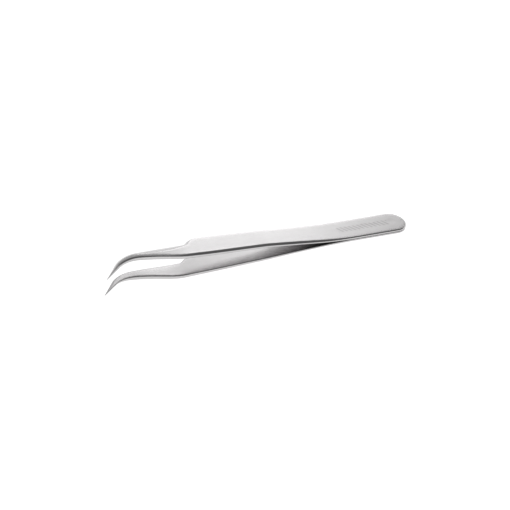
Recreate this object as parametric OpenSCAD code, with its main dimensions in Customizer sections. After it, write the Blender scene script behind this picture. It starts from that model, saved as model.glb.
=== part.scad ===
// Curved-tip precision tweezers: two sprung steel arms, spot-welded together at the tail.
// The arms are drawn as a mirrored pair about the plane z = 0, with the tail end at x = 0.
// The pair is then laid down on the outer flat of the lower arm.

/* [Length] */
// Length from the tail end to the tips
overall_len = 115; // [113:1:122]
// Length of the tail where the arms lie flat on each other
weld_len = 20; // [17:1:22]
// Distance from the tail to the middle of the flexing stretch
hinge_x = 30; // [27:1:34]
// Distance from the tail to the bend between the spring and the grip
bend_x = 55; // [52:0.5:57]
// Distance from the tail to the foot of the shoulder
shoulder_x = 83.6; // [81:0.1:86]
// Length of the slanted step that forms the shoulder
step_len = 5.4; // [4:0.1:7]
// Distance from the tail to the start of the curved tip
curve_x = 100.6; // [99:0.1:102]

/* [Width] */
// Width of the tail, which ends in a half round
tail_w = 10.1; // [8:0.1:11]
// Width at the bend
bend_w = 9; // [7.5:0.1:10]
// Width of the grip just behind the shoulder
grip_w = 9.2; // [8.5:0.1:9.6]
// Width where the curved tip starts
neck_w = 3.45; // [2.6:0.05:3.8]
// Distance of the neck's straight edge from the centre line
neck_edge = 2.15; // [1.6:0.05:2.4]
// Width and thickness of the pointed end
tip_size = 0.2; // [0.15:0.05:0.4]

/* [Thickness and gap] */
// Thickness of each arm at the tail
tail_t = 0.85; // [0.8:0.05:1.1]
// Thickness of each arm where the curved tip starts
neck_t = 1.65; // [1.4:0.05:1.9]
// Rise of the grip's outer flat for each millimetre of length
grip_rise = 0.045; // [0.042:0.0005:0.048]
// Gap between the arms at the bend
bend_gap = 4.05; // [3.6:0.05:4.4]
// Gap between the arms at the shoulder
grip_gap = 6.1; // [5.6:0.1:6.3]
// Gap between the arms where the curved tips start
neck_gap = 6; // [5.6:0.05:6.3]
// Gap between the two points
tip_gap = 6; // [5:0.1:6.4]
// Gap left between the points at the end of the squeeze
closed_gap = 0.04; // [0.02:0.01:0.1]
// Length of the flat ground stretch where the closed points meet
meet_len = 5; // [3:0.5:6]

/* [Curved tip] */
// Radius of the curve
curve_r = 12.9; // [11.5:0.1:14]
// Angle that the curve turns through
curve_deg = 41.7; // [36:0.1:45]

/* [Edges] */
// Bevel along the tail's outer edges
tail_bevel = 0.3; // [0.1:0.05:0.4]
// Bevel along the grip's outer edges
grip_bevel = 0.62; // [0.3:0.02:0.7]
// Bevel along the neck's near edge
neck_bevel = 0.55; // [0.4:0.05:1]
// Width of the fall of the neck's back towards its far edge
neck_fall = 2; // [1:0.1:2]

/* [Spot welds] */
// Number of weld nuggets in a row
weld_count = 3; // [2:1:3]
// Distance from the tail end to the first nugget
weld_first = 5; // [4:0.5:6]
// Distance between nuggets
weld_step = 5.5; // [4.5:0.5:6]
// Nugget diameter
weld_d = 2.8; // [2:0.2:3.4]
// Depth of a nugget into each arm
weld_depth = 0.4; // [0.2:0.1:0.5]

/* [Hidden] */
$fn = 48;
steel = [0.79, 0.79, 0.80];
nugget_steel = [0.62, 0.62, 0.64];

tail_r = tail_w / 2;
// Half of the flat zone on each side of the bend, where its two slopes blend
bend_blend = 2;
// The curved tip's centre line, and the path length along it to the end of the arc and to the point
neck_mid = neck_w / 2 - neck_edge;
arc_end_s = curve_x + curve_r * curve_deg * PI / 180;
arc_end_x = curve_x + curve_r * sin(curve_deg);
arc_end_y = neck_mid + curve_r * (1 - cos(curve_deg));
tip_s = arc_end_s + (overall_len - arc_end_x) / cos(curve_deg);
// Slope of the line that an arm turns through when the points meet
close_tan = (tip_gap - closed_gap) / 2 / (overall_len - hinge_x);

// Length over which the width stays the tail's, and slope of the edges at the point
even_len = 25;
tip_taper = 0.09;

// Middle of the spring: its place, half gap and outer height, then the slopes of the faces
spring_x = 36;
spring_half_gap = 0.63;
spring_top = 1.6;
inner_rear = (bend_gap / 2 - spring_half_gap) / (bend_x - spring_x);
inner_front = (grip_gap - bend_gap) / 2 / (shoulder_x - bend_x);
bend_top = tail_t + grip_rise * bend_x;
outer_rear = (bend_top - spring_top) / (bend_x - spring_x);
neck_top = neck_gap / 2 + neck_t;

// Each profile is a list of [distance, value, slope] rows, joined by smooth cubic pieces.
inner_profile = [
    [weld_len, 0, 0],
    [spring_x, spring_half_gap, inner_rear],
    [bend_x - bend_blend, bend_gap / 2 - bend_blend * inner_rear, inner_rear],
    [bend_x + bend_blend, bend_gap / 2 + bend_blend * inner_front, inner_front],
    [shoulder_x, grip_gap / 2, inner_front],
    [curve_x, neck_gap / 2, 0],
    [tip_s - meet_len, meet_gap(tip_s - meet_len), close_tan * cos(curve_deg)],
];
outer_profile = [
    [weld_len - 1, tail_t, 0],
    [spring_x, spring_top, outer_rear],
    [bend_x - bend_blend, bend_top - bend_blend * outer_rear, outer_rear],
    [bend_x + bend_blend, bend_top + bend_blend * grip_rise, grip_rise],
    [shoulder_x, tail_t + grip_rise * shoulder_x, grip_rise],
    [curve_x, neck_top, 0],
];
// Near edge: nearly straight, then a sweep in to the neck and an even taper to the point
sweep_start = -3;
sweep_knee = [3, 0.17, -0.15];
sweep_end = [9, 1.62, -0.27];
near_profile = [
    [even_len, tail_r, 0],
    [bend_x, bend_w / 2, -0.004],
    [shoulder_x + sweep_start, grip_w / 2, -0.013],
    [shoulder_x + sweep_knee[0], grip_w / 2 - sweep_knee[1], sweep_knee[2]],
    [shoulder_x + sweep_end[0], grip_w / 2 - sweep_end[1], sweep_end[2]],
    [curve_x, neck_mid + neck_w / 2, -0.12],
    [tip_s, neck_mid + tip_size / 2, -tip_taper],
];
// Far edge: nearly straight, then the shoulder's slanted step, the straight neck and the taper
step_mid = 0.4;
step_slope = 0.6;
far_profile = [
    [even_len, -tail_r, 0],
    [bend_x, -bend_w / 2, 0.004],
    [shoulder_x - step_len, -grip_w / 2, 0.02],
    [shoulder_x - step_mid * step_len, -(grip_w / 2 + neck_edge) / 2, step_slope],
    [shoulder_x, -neck_edge, 0],
    [curve_x, -neck_edge, 0.05],
    [tip_s, neck_mid - tip_size / 2, tip_taper],
];
// Bevels grow from the tail to the grip, then change round the shoulder to the neck's own
grip_bevel_x = 42;
bevel_turn = [shoulder_x - 4, shoulder_x + 6];
function bevel_rows(neck_value) = [
    [weld_len, tail_bevel, 0],
    [grip_bevel_x, grip_bevel, 0],
    [bevel_turn[0], grip_bevel, 0],
    [bevel_turn[1], neck_value, 0],
];
near_bevel_profile = bevel_rows(neck_bevel);
far_bevel_profile = bevel_rows(neck_fall);
// Largest share of the width that one bevel may take, and of the thickness
bevel_share = 0.4;
fall_share = 0.52;

// Cubic piece between two rows, and the piece that holds x
function cubic(a, b, x) =
    let (w = b[0] - a[0], t = (x - a[0]) / w)
    (2 * t ^ 3 - 3 * t ^ 2 + 1) * a[1] + (t ^ 3 - 2 * t ^ 2 + t) * w * a[2]
    + (3 * t ^ 2 - 2 * t ^ 3) * b[1] + (t ^ 3 - t ^ 2) * w * b[2];
function follow(rows, x, i = 0) =
    x <= rows[0][0] ? rows[0][1]
    : i == len(rows) - 1 ? rows[i][1]
    : x <= rows[i + 1][0] ? cubic(rows[i], rows[i + 1], x)
    : follow(rows, x, i + 1);

// The centre line runs straight to curve_x, round the arc, then straight to the point.
function path_deg(s) = s <= curve_x ? 0 : min(curve_deg, (s - curve_x) / curve_r * 180 / PI);
function path_x(s) =
    s <= curve_x ? s
    : s <= arc_end_s ? curve_x + curve_r * sin(path_deg(s))
    : arc_end_x + (s - arc_end_s) * cos(curve_deg);
function path_y(s) =
    s <= curve_x ? neck_mid
    : s <= arc_end_s ? neck_mid + curve_r * (1 - cos(path_deg(s)))
    : arc_end_y + (s - arc_end_s) * sin(curve_deg);

// Thickness of the curved tip, which thins faster towards its point
thin_power = 1.4;
function tip_part(s) = max(0, (s - curve_x) / (tip_s - curve_x));
function tip_thick(s) = neck_t - (neck_t - tip_size) * tip_part(s) ^ thin_power;

// Distances of the edges from the centre line, with the tail's half round
function round_off(s) = s >= tail_r ? 1 : sqrt(1 - (1 - s / tail_r) ^ 2);
function near_off(s) = follow(near_profile, s) * round_off(s) - neck_mid;
function far_off(s) = follow(far_profile, s) * round_off(s) - neck_mid;

// Heights of the inner and outer faces above the meeting plane
function meet_gap(s) = closed_gap / 2 + close_tan * (path_x(s) - hinge_x);
function inner_z(s) = s > tip_s - meet_len ? meet_gap(s) : follow(inner_profile, s);
function outer_z(s) = s > curve_x ? inner_z(s) + tip_thick(s) : follow(outer_profile, s);

// How far a bevel reaches in from its edge, and how far down from the outer face
function bevel_in(rows, s) = min(follow(rows, s), bevel_share * (near_off(s) - far_off(s)));
function bevel_down(inset, s) = min(inset, fall_share * (outer_z(s) - inner_z(s)));

// One cross-section: inner face, two walls, two bevels and the outer face
function ring(s) =
    let (a = path_deg(s), near = near_off(s), far = far_off(s), zi = inner_z(s), zo = outer_z(s))
    let (bn = bevel_in(near_bevel_profile, s), bf = bevel_in(far_bevel_profile, s))
    let (wn = zo - bevel_down(bn, s), wf = zo - bevel_down(bf, s))
    [for (p = [[near, zi], [near, wn], [near - bn, zo], [far + bf, zo], [far, wf], [far, zi]])
        [path_x(s) - p[0] * sin(a), path_y(s) + p[0] * cos(a), p[1]]];

module skin(stations) {
    side = 6;
    last = len(stations) - 1;
    points = [for (s = stations) each ring(s)];
    walls = [for (i = [0 : last - 1], j = [0 : side - 1])
        let (a = i * side + j, b = i * side + (j + 1) % side)
        each [[a, b, b + side], [a, b + side, a + side]]];
    caps = [for (j = [1 : side - 2])
        each [[0, j + 1, j], [last * side, last * side + j, last * side + j + 1]]];
    polyhedron(points, concat(walls, caps));
}

// Rings along the tail half and along the blade, closest where the shape turns most
tail_stations = concat(
    [for (a = [4 : 8 : 84]) tail_r * (1 - cos(a))],
    [tail_r, weld_len - 1],
    [for (k = [1 : 4]) weld_len - 1 + k * (hinge_x - weld_len + 1) / 4]);
blade_stations = concat(
    [hinge_x],
    [for (k = [1 : 3]) hinge_x + k * (bend_x - bend_blend - hinge_x) / 3],
    [for (k = [1 : 4]) bend_x - bend_blend + k * bend_blend / 2],
    [for (k = [0 : 9]) shoulder_x + (k / 9 - 1) * step_len],
    [for (k = [1 : 10]) shoulder_x + k * (curve_x - shoulder_x) / 10],
    [for (k = [1 : 18]) curve_x + k * (tip_s - curve_x) / 18]);

// Lays the pair down so that the lower arm's outer flat is level
rest_tilt = atan(grip_rise);
function laid_x(x, z) = x * cos(rest_tilt) - z * sin(rest_tilt);
laid_mid_x = (laid_x(0, tail_t) + laid_x(overall_len, -tip_gap / 2)) / 2;
tip_edge_y = path_y(tip_s) + cos(curve_deg) * tip_size / 2;
module lay_down() {
    translate([-laid_mid_x, -(tip_edge_y - tail_w / 2) / 2, tail_t * cos(rest_tilt)])
        rotate([0, -rest_tilt, 0]) children();
}

module weld_places() {
    for (k = [0 : weld_count - 1])
        translate([weld_first + k * weld_step, 0, 0]) children();
}
module nugget() {
    translate([0, 0, -weld_depth]) cylinder(h = 2 * weld_depth, d = weld_d);
}
module half_tail() {
    difference() {
        skin(tail_stations);
        weld_places() nugget();
    }
}

module upper_tail() {
    color(steel) lay_down() half_tail();
}
module lower_tail() {
    color(steel) lay_down() mirror([0, 0, 1]) half_tail();
}
module weld_nuggets() {
    color(nugget_steel) lay_down() weld_places() nugget();
}
module upper_blade() {
    color(steel) lay_down() skin(blade_stations);
}
module lower_blade() {
    color(steel) lay_down() mirror([0, 0, 1]) skin(blade_stations);
}

upper_tail();
lower_tail();
weld_nuggets();
upper_blade();
lower_blade();
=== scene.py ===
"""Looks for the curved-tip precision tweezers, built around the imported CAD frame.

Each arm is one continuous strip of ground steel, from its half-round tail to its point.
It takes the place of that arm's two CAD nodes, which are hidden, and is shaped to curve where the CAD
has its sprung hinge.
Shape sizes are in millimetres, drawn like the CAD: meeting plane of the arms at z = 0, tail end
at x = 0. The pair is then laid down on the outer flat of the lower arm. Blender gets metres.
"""

import math

import bmesh
import bpy
from mathutils import Matrix, Vector

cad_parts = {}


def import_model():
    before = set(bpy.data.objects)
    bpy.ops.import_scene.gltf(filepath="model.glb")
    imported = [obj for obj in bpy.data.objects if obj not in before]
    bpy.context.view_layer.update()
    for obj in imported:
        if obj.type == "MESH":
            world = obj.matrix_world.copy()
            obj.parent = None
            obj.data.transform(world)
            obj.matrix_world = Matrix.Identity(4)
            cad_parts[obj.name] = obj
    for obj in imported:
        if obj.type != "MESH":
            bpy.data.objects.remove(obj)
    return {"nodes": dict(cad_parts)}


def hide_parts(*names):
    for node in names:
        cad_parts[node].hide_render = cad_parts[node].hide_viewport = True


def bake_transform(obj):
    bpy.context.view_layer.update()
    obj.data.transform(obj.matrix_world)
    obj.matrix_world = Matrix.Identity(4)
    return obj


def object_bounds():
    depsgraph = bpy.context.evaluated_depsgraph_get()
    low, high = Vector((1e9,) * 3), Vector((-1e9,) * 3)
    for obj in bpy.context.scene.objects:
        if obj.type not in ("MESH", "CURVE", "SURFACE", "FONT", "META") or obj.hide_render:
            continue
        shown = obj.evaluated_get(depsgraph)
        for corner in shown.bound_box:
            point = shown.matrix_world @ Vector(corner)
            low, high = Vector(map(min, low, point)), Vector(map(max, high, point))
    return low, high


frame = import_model()
cad_low, cad_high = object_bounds()
MM = 0.001

# ---------------------------------------------------------------- driving sizes, mm
# Places along the length, from the tail end, and lengths
OVERALL_LEN = 115.0
WELD_LEN = 20.0
EVEN_LEN = 25.0
HINGE_X = 30.0
SPRING_X = 36.0
BEND_X = 55.0
BEND_BLEND = 2.0
SHOULDER_X = 83.6
STEP_LEN = 5.4
CURVE_X = 100.6

# Widths; the neck's straight far edge is NECK_EDGE from the middle
TAIL_W = 10.1
BEND_W = 9.0
GRIP_W = 9.2
NECK_W = 3.45
NECK_EDGE = 2.15
TIP_SIZE = 0.2

# Thicknesses, the rise of the outer flat per millimetre, gaps, and the stretch that meets
TAIL_T = 0.85
NECK_T = 1.65
GRIP_RISE = 0.045
SPRING_HALF_GAP = 0.63
SPRING_TOP = 1.6
BEND_GAP = 4.05
GRIP_GAP = 6.1
NECK_GAP = 6.0
TIP_GAP = 6.0
CLOSED_GAP = 0.04
MEET_LEN = 5.0

# Curved tip
CURVE_R = 12.9
CURVE_DEG = 41.7

# Bevels along the outer edges; the fall is the neck's far one
TAIL_BEVEL = 0.3
GRIP_BEVEL = 0.62
NECK_BEVEL, NECK_FALL = 0.55, 2.0

# ---------------------------------------------------------------- derived sizes
TAIL_R = TAIL_W / 2
CURVE = math.radians(CURVE_DEG)
ARC_END_S = CURVE_X + CURVE_R * CURVE
ARC_END_X = CURVE_X + CURVE_R * math.sin(CURVE)
NECK_MID = NECK_W / 2 - NECK_EDGE
ARC_END_Y = NECK_MID + CURVE_R * (1 - math.cos(CURVE))
TIP_S = ARC_END_S + (OVERALL_LEN - ARC_END_X) / math.cos(CURVE)
CLOSE_TAN = (TIP_GAP - CLOSED_GAP) / 2 / (OVERALL_LEN - HINGE_X)
# Slopes of the faces on the tail's side of the bend (rear) and on the points' side (front)
INNER_REAR = (BEND_GAP / 2 - SPRING_HALF_GAP) / (BEND_X - SPRING_X)
INNER_FRONT = (GRIP_GAP - BEND_GAP) / 2 / (SHOULDER_X - BEND_X)
BEND_TOP = TAIL_T + GRIP_RISE * BEND_X
OUTER_REAR = (BEND_TOP - SPRING_TOP) / (BEND_X - SPRING_X)


def path_turn(s):
    """Direction of the centre line at path length s."""
    return min(CURVE, max(0.0, (s - CURVE_X) / CURVE_R))


def path_point(s):
    """Centre line: straight, round the arc, then straight to the point."""
    if s <= CURVE_X:
        return s, NECK_MID
    if s <= ARC_END_S:
        turn = path_turn(s)
        return CURVE_X + CURVE_R * math.sin(turn), NECK_MID + CURVE_R * (1 - math.cos(turn))
    past = s - ARC_END_S
    return ARC_END_X + past * math.cos(CURVE), ARC_END_Y + past * math.sin(CURVE)


def meet_gap(s):
    """Half gap of the ground stretch that meets flat when the points close."""
    return CLOSED_GAP / 2 + CLOSE_TAN * (path_point(s)[0] - HINGE_X)


# Each profile is a list of (distance, value, slope) rows, joined by smooth cubic pieces.
INNER = [
    (WELD_LEN, 0, 0),
    (SPRING_X, SPRING_HALF_GAP, INNER_REAR),
    (BEND_X - BEND_BLEND, BEND_GAP / 2 - BEND_BLEND * INNER_REAR, INNER_REAR),
    (BEND_X + BEND_BLEND, BEND_GAP / 2 + BEND_BLEND * INNER_FRONT, INNER_FRONT),
    (SHOULDER_X, GRIP_GAP / 2, INNER_FRONT),
    (CURVE_X, NECK_GAP / 2, 0),
    (TIP_S - MEET_LEN, meet_gap(TIP_S - MEET_LEN), CLOSE_TAN * math.cos(CURVE)),
]
OUTER = [
    (WELD_LEN - 1, TAIL_T, 0),
    (SPRING_X, SPRING_TOP, OUTER_REAR),
    (BEND_X - BEND_BLEND, BEND_TOP - BEND_BLEND * OUTER_REAR, OUTER_REAR),
    (BEND_X + BEND_BLEND, BEND_TOP + BEND_BLEND * GRIP_RISE, GRIP_RISE),
    (SHOULDER_X, TAIL_T + GRIP_RISE * SHOULDER_X, GRIP_RISE),
    (CURVE_X, NECK_GAP / 2 + NECK_T, 0),
]
# Distances of the two edges from y = 0; the curved tip narrows evenly about its centre line.
# Near edge: nearly straight, then a sweep in to the neck. The sweep's distances count from the
# shoulder's foot, and its values from the grip's edge.
SWEEP_START = -3
SWEEP_KNEE = (3, 0.17, -0.15)
SWEEP_END = (9, 1.62, -0.27)
TIP_TAPER = 0.09
NEAR = [
    (EVEN_LEN, TAIL_R, 0),
    (BEND_X, BEND_W / 2, -0.004),
    (SHOULDER_X + SWEEP_START, GRIP_W / 2, -0.013),
    (SHOULDER_X + SWEEP_KNEE[0], GRIP_W / 2 - SWEEP_KNEE[1], SWEEP_KNEE[2]),
    (SHOULDER_X + SWEEP_END[0], GRIP_W / 2 - SWEEP_END[1], SWEEP_END[2]),
    (CURVE_X, NECK_MID + NECK_W / 2, -0.12),
    (TIP_S, NECK_MID + TIP_SIZE / 2, -TIP_TAPER),
]
# Far edge: nearly straight, then the shoulder's slanted step and the straight neck.
STEP_MID, STEP_SLOPE = 0.4, 0.6
FAR = [
    (EVEN_LEN, -TAIL_R, 0),
    (BEND_X, -BEND_W / 2, 0.004),
    (SHOULDER_X - STEP_LEN, -GRIP_W / 2, 0.02),
    (SHOULDER_X - STEP_MID * STEP_LEN, -(GRIP_W / 2 + NECK_EDGE) / 2, STEP_SLOPE),
    (SHOULDER_X, -NECK_EDGE, 0),
    (CURVE_X, -NECK_EDGE, 0.05),
    (TIP_S, NECK_MID - TIP_SIZE / 2, TIP_TAPER),
]
# Bevels grow from the tail to the grip, then change round the shoulder to the neck's own.
GRIP_BEVEL_X = 42
BEVEL_TURN = (SHOULDER_X - 4, SHOULDER_X + 6)
BEVELS = {side: [
    (WELD_LEN, TAIL_BEVEL, 0),
    (GRIP_BEVEL_X, GRIP_BEVEL, 0),
    (BEVEL_TURN[0], GRIP_BEVEL, 0),
    (BEVEL_TURN[1], neck_bevel, 0),
] for side, neck_bevel in ((1, NECK_BEVEL), (-1, NECK_FALL))}
# Largest share of the width that one bevel may take, and of the thickness
BEVEL_SHARE, FALL_SHARE = 0.4, 0.52
# The tip thins slowly at first, by this power of the way along it
THIN_POWER = 1.4
# Where the back turns from flat to round
CROWN = [(SHOULDER_X - 6, 0, 0), (SHOULDER_X + 8, 1, 0)]


def cubic(a, b, x):
    """Value at x of the cubic piece between two rows."""
    w = b[0] - a[0]
    t = (x - a[0]) / w
    ends = (2 * t**3 - 3 * t**2 + 1) * a[1] + (3 * t**2 - 2 * t**3) * b[1]
    return ends + (t**3 - 2 * t**2 + t) * w * a[2] + (t**3 - t**2) * w * b[2]


def follow(rows, x):
    """Value at x of the smooth curve through rows."""
    if x <= rows[0][0]:
        return rows[0][1]
    for a, b in zip(rows, rows[1:]):
        if x <= b[0]:
            return cubic(a, b, x)
    return rows[-1][1]


def tip_part(s):
    """How far along the curved tip s is, from 0 to 1."""
    return min(1.0, max(0.0, (s - CURVE_X) / (TIP_S - CURVE_X)))


def near_off(s):
    """Distance of the near edge from the centre line."""
    return follow(NEAR, s) - NECK_MID


def far_off(s):
    """Distance of the far edge from the centre line, which is negative."""
    return follow(FAR, s) - NECK_MID


def inner_z(s):
    """Height of the face that looks at the other arm."""
    return meet_gap(s) if s > TIP_S - MEET_LEN else follow(INNER, s)


def outer_z(s):
    """Height of the outer face."""
    if s > CURVE_X:
        return inner_z(s) + NECK_T - (NECK_T - TIP_SIZE) * tip_part(s) ** THIN_POWER
    return follow(OUTER, s)


def bevel_at(s, side):
    """How far the near (side 1) or far (side -1) bevel reaches in from its edge, and how far down."""
    width = near_off(s) - far_off(s)
    inset = follow(BEVELS[side], s)
    limit = BEVEL_SHARE * width
    return min(inset, limit), min(inset, limit, FALL_SHARE * (outer_z(s) - inner_z(s)))


def crown(s):
    """0 where the outer face is flat with crisp bevels, 1 where it is rounded like a D."""
    return follow(CROWN, s)


# ---------------------------------------------------------------- laying the pair down
REST_TILT = math.atan(GRIP_RISE)
TIP_Y = path_point(TIP_S)[1] + math.cos(CURVE) * TIP_SIZE / 2


def laid(x, y, z):
    """A drawn point, in mm, as a point of the shared frame, in metres."""
    c, s = math.cos(REST_TILT), math.sin(REST_TILT)
    middle = (OVERALL_LEN * c + (TIP_GAP / 2 - TAIL_T) * s) / 2
    return Vector((x * c - z * s - middle, y - (TIP_Y - TAIL_R) / 2, x * s + z * c + TAIL_T * c)) * MM


# ---------------------------------------------------------------- one arm's mesh
# Corner roundings: the inner corners at the grip and neck, the wall's top, the outer corner, and
# both of these where the back is crowned, for the near (1) and the far (-1) side
INNER_ROUND, NECK_INNER_ROUND = 0.4, 0.75
WALL_ROUND, OUTER_ROUND = 0.10, 0.16
CROWN_ROUND = {1: 0.6, -1: 1.4}
# Straight pieces in one rounding
CORNER_STEPS = 6
# Largest share of a straight side that a rounding takes, between two roundings and at the ends
SIDE_SHARE, END_SHARE = 0.49, 0.98
# How far an edge's own points reach over the flats, in mm and as the largest share of the flat
REACH, REACH_SHARE = 1.2, 0.48
# Polish of the inner face, the inner corner, the wall's top, the outer corner and the outer face
POLISH = (0.1, 0.6, 0.9, 0.7, 0.0)
# The inner faces stop this far from the meeting plane, so that the welded tails share no face
SEAM = 0.004
# Half the stretch over which an edge's slope is measured
SLOPE_STEP = 0.05

# Round marks over the spot welds: places, radius, depth, how far a mark counts and its rim's power
WELD_X = (5.0, 10.5, 16.0)
WELD_MARK_R, WELD_MARK_DEPTH = 1.25, 0.022
WELD_MARK_REACH, WELD_MARK_POWER = 1.6, 8

# Rings round the tail's quarter turn, then (end of a span, rings in it) from there to the point.
# They are closest where the shape turns most, and for a margin before and after that.
TAIL_RINGS = 28
MARGIN = 1
SPANS = [
    (WELD_LEN, 44),
    (SPRING_X, 30),
    (BEND_X - BEND_BLEND - MARGIN, 16),
    (BEND_X + BEND_BLEND + MARGIN, 14),
    (SHOULDER_X - STEP_LEN - MARGIN, 20),
    (SHOULDER_X + MARGIN, 44),
    (CURVE_X, 30),
    (TIP_S, 66),
]
# Strips across the outer and the inner face, between the edges' own points
OUTER_STRIPS = 26
INNER_STRIPS = 8

# In metres: vertices closer than the first are one, and edges shorter than the second go
MERGE_DIST, EDGE_DIST = 2e-7, 1e-7


def towards(corner, other, radius, share):
    """The point where a rounding of a corner meets the straight side that runs to another one."""
    side = other - corner
    return corner + side.normalized() * min(radius, share * side.length)


def rounded(points, radii):
    """A polyline with the corners between its ends rounded: (point, corner's number) pairs."""
    made = [(points[0], 0)]
    last = len(points) - 1
    for k in range(1, last):
        corner, radius = points[k], radii[k - 1]
        start = towards(corner, points[k - 1], radius, END_SHARE if k == 1 else SIDE_SHARE)
        end = towards(corner, points[k + 1], radius, END_SHARE if k == last - 1 else SIDE_SHARE)
        for i in range(CORNER_STEPS + 1):
            t = i / CORNER_STEPS
            made.append((start * (1 - t) ** 2 + corner * 2 * t * (1 - t) + end * t * t, k))
    made.append((points[last], last))
    return made


def edge_profile(bevel, drop, thick, reach, crowned, crown_round):
    """(inset, height) from the inner face round the wall and the bevel to the outer face."""
    points = [(reach, 0.0), (0.0, 0.0), (0.0, thick - drop), (bevel, thick), (reach, thick)]
    wall = WALL_ROUND + (crown_round - WALL_ROUND) * crowned
    outer = OUTER_ROUND + (crown_round - OUTER_ROUND) * crowned
    inner = INNER_ROUND + (NECK_INNER_ROUND - INNER_ROUND) * crowned
    return rounded([Vector(p) for p in points], (inner, wall, outer))


def slope(offset, s):
    """How fast an edge's distance from the centre line grows along it."""
    return (offset(s + SLOPE_STEP) - offset(s - SLOPE_STEP)) / (2 * SLOPE_STEP)


def edge_point(s, side, inset):
    """A point inset from the near (side 1) or far (side -1) outline, and the s its height follows."""
    offset = near_off if side > 0 else far_off
    rate = slope(offset, s)
    size = math.hypot(1, rate)
    along, across = side * rate / size * inset, -side / size * inset
    turn = path_turn(s)
    x, y = path_point(s)
    off = offset(s) + across
    px = x + along * math.cos(turn) - off * math.sin(turn)
    py = y + along * math.sin(turn) + off * math.cos(turn)
    return px, py, s + along


def tail_point(angle, side, inset):
    """The same on the tail's half round, by the angle from its end."""
    r = TAIL_R - inset
    x = TAIL_R - r * math.cos(angle)
    return x, side * r * math.sin(angle), x


def weld_dip(x, y):
    """Depth of the shallow round marks that the welding electrodes leave on the tail."""
    dip = 0.0
    for weld in WELD_X:
        near = math.hypot(x - weld, y) / WELD_MARK_R
        if near < WELD_MARK_REACH:
            dip += WELD_MARK_DEPTH / (1 + near ** WELD_MARK_POWER)
    return dip


def station_list():
    """Places of the rings: round the tail by angle, then by path length to the point."""
    stations = [(True, math.radians(90) * k / TAIL_RINGS) for k in range(TAIL_RINGS)]
    start = TAIL_R
    for end, count in SPANS:
        stations += [(False, start + (end - start) * k / count) for k in range(count)]
        start = end
    return stations + [(False, TIP_S)]


def edge_row(place, value, s, side, flat):
    """(x, y, z, polish) along one edge's profile, from the inner face to the outer one."""
    bevel, drop = bevel_at(s, side)
    thick = outer_z(s) - inner_z(s)
    reach = bevel + min(REACH, REACH_SHARE * flat)
    row = []
    profile = edge_profile(bevel, drop, thick, reach, crown(s), CROWN_ROUND[side])
    for (inset, height), corner in profile:
        x, y, at = place(value, side, inset)
        low, high = inner_z(at), outer_z(at)
        z = low + SEAM + (high - low - SEAM) * height / thick
        row.append((x, y, z, POLISH[corner]))
    return row


def across_face(a, b, strips, dip):
    """Points between two edge points of a face, pressed in by the depth that dip gives."""
    made = []
    for k in range(1, strips):
        t = k / strips
        x, y, z = (a[i] + (b[i] - a[i]) * t for i in range(3))
        made.append((x, y, z - dip(x, y), a[3]))
    return made


def ring(on_tail, value):
    """One closed cross-section: (x, y, z, polish) all the way round."""
    if on_tail:
        place, s = tail_point, TAIL_R - TAIL_R * math.cos(value)
        flat = 2 * (TAIL_R - TAIL_BEVEL)
    else:
        place, s = edge_point, value
        flat = near_off(s) - far_off(s) - bevel_at(s, 1)[0] - bevel_at(s, -1)[0]
    near = edge_row(place, value, s, 1, flat)
    far = edge_row(place, value, s, -1, flat)[::-1]
    outer = across_face(near[-1], far[0], OUTER_STRIPS, weld_dip)
    inner = across_face(far[-1], near[0], INNER_STRIPS, lambda x, y: 0.0)
    return near + outer + far + inner


def skin(rings):
    """Faces between neighbouring rings of points, and one that closes the last ring."""
    count = len(rings[0])
    faces = []
    for i in range(len(rings) - 1):
        for j in range(count):
            a, b = i * count + j, i * count + (j + 1) % count
            faces.append((a, b, b + count, a + count))
    last = (len(rings) - 1) * count
    return faces + [[last + j for j in range(count)]]


def clean(mesh):
    """Joins the points that coincide at the tail's end, turns the faces outwards and smooths them."""
    work = bmesh.new()
    work.from_mesh(mesh)
    bmesh.ops.remove_doubles(work, verts=work.verts, dist=MERGE_DIST)
    bmesh.ops.dissolve_degenerate(work, edges=work.edges, dist=EDGE_DIST)
    bmesh.ops.recalc_face_normals(work, faces=work.faces)
    for face in work.faces:
        face.smooth = True
    work.to_mesh(mesh)
    work.free()


def arm_mesh(name, upright):
    """The whole arm; upright is 1 for the upper arm and -1 for its mirror image."""
    rings = [ring(on_tail, value) for on_tail, value in station_list()]
    mesh = bpy.data.meshes.new(name)
    mesh.from_pydata([laid(x, y, upright * z) for r in rings for x, y, z, _ in r], [], skin(rings))
    polish = mesh.attributes.new("polish", "FLOAT", "POINT")
    polish.data.foreach_set("value", [p[3] for r in rings for p in r])
    clean(mesh)
    arm = bpy.data.objects.new(name, mesh)
    bpy.context.collection.objects.link(arm)
    return arm


# ---------------------------------------------------------------- node helpers
# The middle part of a noise's values, which is mapped to a range of tones or roughness
NOISE_SPAN = (0.3, 0.7)


def new_material(name):
    """A material with one Principled shader; returns it, its node tree and the shader."""
    material = bpy.data.materials.new(name)
    material.use_nodes = True
    nodes = material.node_tree.nodes
    nodes.clear()
    shader = nodes.new("ShaderNodeBsdfPrincipled")
    out = nodes.new("ShaderNodeOutputMaterial")
    material.node_tree.links.new(shader.outputs["BSDF"], out.inputs["Surface"])
    return material, material.node_tree, shader


def noise(tree, scale, detail):
    """Noise in the object's own metres; scale is how many features there are per metre of X, Y, Z."""
    place = tree.nodes.new("ShaderNodeTexCoord")
    mapping = tree.nodes.new("ShaderNodeMapping")
    mapping.inputs["Scale"].default_value = scale
    texture = tree.nodes.new("ShaderNodeTexNoise")
    texture.inputs["Scale"].default_value = 1.0
    texture.inputs["Detail"].default_value = detail
    tree.links.new(place.outputs["Object"], mapping.inputs["Vector"])
    tree.links.new(mapping.outputs["Vector"], texture.inputs["Vector"])
    return texture.outputs["Fac"]


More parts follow.
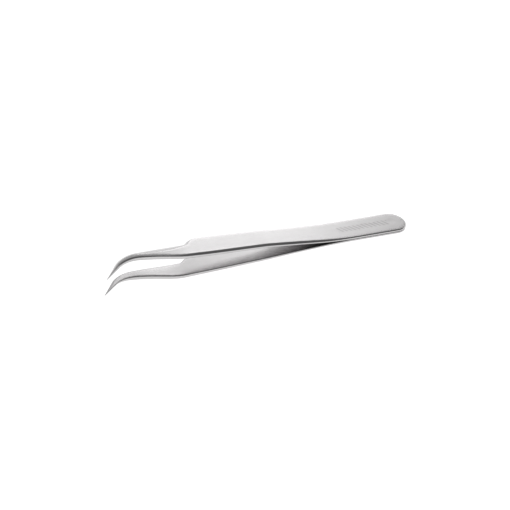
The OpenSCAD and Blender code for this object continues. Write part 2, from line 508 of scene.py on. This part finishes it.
def mapped(tree, value, span, result, kind="LINEAR"):
    """Maps a span of value to the result's low and high ends, and holds it beyond both."""
    node = tree.nodes.new("ShaderNodeMapRange")
    node.interpolation_type = kind
    for name, number in zip(("From Min", "From Max", "To Min", "To Max"), (*span, *result)):
        node.inputs[name].default_value = number
    tree.links.new(value, node.inputs["Value"])
    return node.outputs["Result"]


def math_node(tree, operation, a, b=0.0):
    """One Math node; a and b are numbers or other nodes' outputs."""
    node = tree.nodes.new("ShaderNodeMath")
    node.operation = operation
    for socket, value in zip(node.inputs, (a, b)):
        if isinstance(value, (int, float)):
            socket.default_value = value
        else:
            tree.links.new(value, socket)
    return node.outputs["Value"]


def inside(tree, value, middle, half):
    """1 where value is within half of middle, 0 elsewhere."""
    away = math_node(tree, "ABSOLUTE", math_node(tree, "SUBTRACT", value, middle))
    return math_node(tree, "LESS_THAN", away, half)


# ---------------------------------------------------------------- steel
# Etched mark, in mm: its middle's distance from the tail end, its length and width, its bars'
# pitch, how far they lean for each millimetre across, and the share of the pitch that they fill
MARK_FROM_TAIL = 16
MARK_SIZE = (20, 2.6)
BAR_PITCH, BAR_LEAN, BAR_SHARE = 1.6, 0.6, 0.45
MARK_DARKER, MARK_ROUGHER = 0.16, 0.15

# Ground steel: (scale, detail) of each noise, the tones and roughness that they give, how much
# smoother full polish is, and the bump's strength and its depth in metres
GRAIN = ((260.0, 11000.0, 11000.0), 3.0)
CLOUD = ((60.0, 140.0, 140.0), 2.0)
SCUFF = ((420.0, 900.0, 900.0), 2.0)
CLOUD_TONE, SCUFF_TONE = (0.50, 0.54), (-0.012, 0.012)
STEEL_TINT = (("Red", 1.0), ("Green", 0.983), ("Blue", 0.989))
GRAIN_ROUGH, CLOUD_ROUGH = (0.27, 0.35), (-0.02, 0.03)
POLISH_ROUGH = -0.12
GRAIN_STRENGTH, GRAIN_DEPTH = 0.25, 0.00001

# Fused steel of the welds
PITS = ((2500.0, 2500.0, 2500.0), 2.0)
PIT_ROUGH = (0.4, 0.6)
WELD_COLOUR = (0.6, 0.59, 0.58, 1)


def etched_mark(tree):
    """1 on a plain row of slanting bars across the upper tail, 0 elsewhere."""
    place = tree.nodes.new("ShaderNodeTexCoord")
    split = tree.nodes.new("ShaderNodeSeparateXYZ")
    tree.links.new(place.outputs["Object"], split.inputs["Vector"])
    x, y, z = (split.outputs[axis] for axis in "XYZ")
    middle = laid(MARK_FROM_TAIL, 0, TAIL_T)
    half_len, half_width = (MM / 2 * size for size in MARK_SIZE)
    in_len, in_width = inside(tree, x, middle.x, half_len), inside(tree, y, middle.y, half_width)
    leaning = math_node(tree, "ADD", x, math_node(tree, "MULTIPLY", y, BAR_LEAN))
    phase = math_node(tree, "FRACT", math_node(tree, "DIVIDE", leaning, MM * BAR_PITCH))
    bar = math_node(tree, "LESS_THAN", phase, BAR_SHARE)
    upper = math_node(tree, "GREATER_THAN", z, middle.z - MM / 2 * TAIL_T)
    box = math_node(tree, "MULTIPLY", in_len, in_width)
    return math_node(tree, "MULTIPLY", math_node(tree, "MULTIPLY", box, bar), upper)


def steel_colour(tree, shader, cloud, scuff, mark):
    """Slightly cloudy and scuffed, and darker on the mark."""
    cloudy = mapped(tree, cloud, NOISE_SPAN, CLOUD_TONE)
    scuffed = mapped(tree, scuff, NOISE_SPAN, SCUFF_TONE)
    kept = math_node(tree, "SUBTRACT", 1.0, math_node(tree, "MULTIPLY", mark, MARK_DARKER))
    tone = math_node(tree, "MULTIPLY", math_node(tree, "ADD", cloudy, scuffed), kept)
    colour = tree.nodes.new("ShaderNodeCombineColor")
    for channel, share in STEEL_TINT:
        tree.links.new(math_node(tree, "MULTIPLY", tone, share), colour.inputs[channel])
    tree.links.new(colour.outputs["Color"], shader.inputs["Base Color"])


def steel_roughness(tree, shader, grain, cloud, mark):
    """Rough with the grain, smoother where the mesh's polish says so, and rougher on the mark."""
    ground = mapped(tree, grain, NOISE_SPAN, GRAIN_ROUGH)
    uneven = math_node(tree, "ADD", ground, mapped(tree, cloud, NOISE_SPAN, CLOUD_ROUGH))
    polish = tree.nodes.new("ShaderNodeAttribute")
    polish.attribute_name = "polish"
    smoothing = math_node(tree, "MULTIPLY", polish.outputs["Fac"], POLISH_ROUGH)
    smoother = math_node(tree, "ADD", uneven, smoothing)
    etched = math_node(tree, "ADD", smoother, math_node(tree, "MULTIPLY", mark, MARK_ROUGHER))
    tree.links.new(etched, shader.inputs["Roughness"])


def grain_bump(tree, shader, grain):
    """The fine scratches that grinding leaves along the length."""
    bump = tree.nodes.new("ShaderNodeBump")
    bump.inputs["Strength"].default_value = GRAIN_STRENGTH
    bump.inputs["Distance"].default_value = GRAIN_DEPTH
    tree.links.new(grain, bump.inputs["Height"])
    tree.links.new(bump.outputs["Normal"], shader.inputs["Normal"])


def satin_steel():
    """Stainless steel ground along its length, with smoother bevels and an etched mark."""
    material, tree, shader = new_material("satin_steel")
    shader.inputs["Metallic"].default_value = 1.0
    grain, cloud, scuff = (noise(tree, *kind) for kind in (GRAIN, CLOUD, SCUFF))
    mark = etched_mark(tree)
    steel_colour(tree, shader, cloud, scuff, mark)
    steel_roughness(tree, shader, grain, cloud, mark)
    grain_bump(tree, shader, grain)
    return material


def weld_steel():
    """The fused steel of the weld nuggets, unevenly rough."""
    material, tree, shader = new_material("weld_steel")
    shader.inputs["Metallic"].default_value = 1.0
    shader.inputs["Base Color"].default_value = WELD_COLOUR
    pits = noise(tree, *PITS)
    tree.links.new(mapped(tree, pits, NOISE_SPAN, PIT_ROUGH), shader.inputs["Roughness"])
    return material


# ---------------------------------------------------------------- camera
# Angles in degrees: from +Y towards +X, above the floor, and about the camera's own axis
CAMERA_ANGLES = (32.58, 34.41, 7.9)
# In metres: how far it is from the point that it aims at, which starts at this height over the
# origin and is then shifted by this much in the picture
CAMERA_DISTANCE = 0.8535
AIM_HEIGHT = 0.005
AIM_RIGHT, AIM_UP = -0.000596, -0.003167
# Lens and sensor in mm, and the nearest distance that is seen, in metres
CAMERA_LENS, CAMERA_SENSOR = 185.9, 36
CLIP_START = 0.01


def camera():
    """A long lens above the near side, round towards the points, turned about its own axis."""
    azimuth, elevation, roll = (math.radians(angle) for angle in CAMERA_ANGLES)
    back = Vector((math.sin(azimuth) * math.cos(elevation),
                   math.cos(azimuth) * math.cos(elevation), math.sin(elevation)))
    level = Vector((0, 0, 1)).cross(back).normalized()
    raised = back.cross(level)
    right = level * math.cos(roll) + raised * math.sin(roll)
    up = raised * math.cos(roll) - level * math.sin(roll)
    aim = Vector((0, 0, AIM_HEIGHT)) + right * AIM_RIGHT + up * AIM_UP
    data = bpy.data.cameras.new("camera")
    data.sensor_width = CAMERA_SENSOR
    data.lens = CAMERA_LENS
    data.clip_start = CLIP_START
    obj = bpy.data.objects.new("camera", data)
    columns = Matrix((right, up, back)).transposed().to_4x4()
    obj.matrix_world = Matrix.Translation(aim + back * CAMERA_DISTANCE) @ columns
    bpy.context.collection.objects.link(obj)
    bpy.context.scene.camera = obj


# ---------------------------------------------------------------- floor and light
WHITE = (1, 1, 1, 1)

# The floor lies just under the part. Its paper glows, so that it is pale with hardly any shadow.
FLOOR_SIZE, FLOOR_SINK = 6.0, 0.00002
FIBRE = ((300.0, 300.0, 300.0), 3.0)
PAPER_TONES = {"A": 0.27, "B": 0.29}
PAPER_ROUGH, PAPER_GLOSS, PAPER_GLOW = 0.9, 0.1, 0.92

# World: the dark patch's direction and how its edge fades, by the cosine of the angle from its
# middle, and the bright band, by the height of a direction
PATCH_TOWARD = (-0.49, 0.55, 0.675)
PATCH_EDGE = (0.60, 0.93)
STUDIO_TONE, PATCH_TONE = 0.54, 0.14
HORIZON_HEIGHT, HORIZON_EXTRA = (0.16, 0.42), 0.75

# Lamps: name, place, size, power in watts, and the direction that the longer side runs along
LAMPS = [
    ("ceiling", (0.45, -0.35, 1.2), (1.8, 1.4), 5, (1, 0, 0)),
    ("points_box", (0.95, 0.35, 0.85), (1.4, 1.4), 6, (1, 0, 0)),
    ("back_box", (-0.1415, -0.2000, 0.1125), (0.144, 0.088), 0.0545, (1, 0, 1)),
]


def floor_paper():
    """Pale backdrop paper with faint fibres."""
    material, tree, shader = new_material("floor_paper")
    shader.inputs["Roughness"].default_value = PAPER_ROUGH
    shader.inputs["Specular IOR Level"].default_value = PAPER_GLOSS
    shader.inputs["Emission Color"].default_value = WHITE
    shader.inputs["Emission Strength"].default_value = PAPER_GLOW
    mix = tree.nodes.new("ShaderNodeMix")
    mix.data_type = "RGBA"
    for socket, tone in PAPER_TONES.items():
        mix.inputs[socket].default_value = (tone, tone, tone, 1)
    tree.links.new(noise(tree, *FIBRE), mix.inputs["Factor"])
    tree.links.new(mix.outputs["Result"], shader.inputs["Base Color"])
    return material


def floor():
    """A plain square floor."""
    bpy.ops.mesh.primitive_plane_add(size=FLOOR_SIZE, location=(0, 0, cad_low.z - FLOOR_SINK))
    plane = bpy.context.object
    plane.name = "floor"
    plane.data.materials.append(floor_paper())


def area_light(name, place, size, power, along):
    """A rectangular lamp facing the tweezers, its longer side running along the given direction."""
    data = bpy.data.lights.new(name, "AREA")
    data.shape = "RECTANGLE"
    data.size, data.size_y = size
    data.energy = power
    lamp = bpy.data.objects.new(name, data)
    outward = Vector(place).normalized()
    side = (Vector(along) - outward * outward.dot(Vector(along))).normalized()
    columns = Matrix((side, outward.cross(side), outward)).transposed().to_4x4()
    lamp.matrix_world = Matrix.Translation(place) @ columns
    bpy.context.collection.objects.link(lamp)


def world():
    """A studio, brightest near the horizon, with a dark patch high up at the camera's right."""
    made = bpy.data.worlds.new("studio")
    bpy.context.scene.world = made
    made.use_nodes = True
    tree = made.node_tree
    place = tree.nodes.new("ShaderNodeTexCoord")
    toward = tree.nodes.new("ShaderNodeVectorMath")
    toward.operation = "DOT_PRODUCT"
    toward.inputs[1].default_value = PATCH_TOWARD
    tree.links.new(place.outputs["Generated"], toward.inputs[0])
    height = tree.nodes.new("ShaderNodeSeparateXYZ")
    tree.links.new(place.outputs["Generated"], height.inputs["Vector"])
    tones = (STUDIO_TONE, PATCH_TONE)
    patch = mapped(tree, toward.outputs["Value"], PATCH_EDGE, tones, "SMOOTHSTEP")
    band = mapped(tree, height.outputs["Z"], HORIZON_HEIGHT, (HORIZON_EXTRA, 0), "SMOOTHSTEP")
    background = tree.nodes["Background"]
    tree.links.new(math_node(tree, "ADD", patch, band), background.inputs["Strength"])
    background.inputs["Color"].default_value = WHITE


camera()
floor()
world()
for lamp in LAMPS:
    area_light(*lamp)

# ---------------------------------------------------------------- the tweezers
steel = satin_steel()
ARMS = (("upper_arm_strip", 1, "upper_arm", ("upper_tail", "upper_blade")),
        ("lower_arm_strip", -1, "lower_arm", ("lower_tail", "lower_blade")))
for name, upright, body, nodes in ARMS:
    arm = arm_mesh(name, upright)
    arm.data.materials.append(steel)
    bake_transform(arm)
    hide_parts(*nodes)

nuggets = frame["nodes"]["weld_nuggets"]
nuggets.data.materials.clear()
nuggets.data.materials.append(weld_steel())

bpy.context.scene.view_settings.view_transform = "Standard"
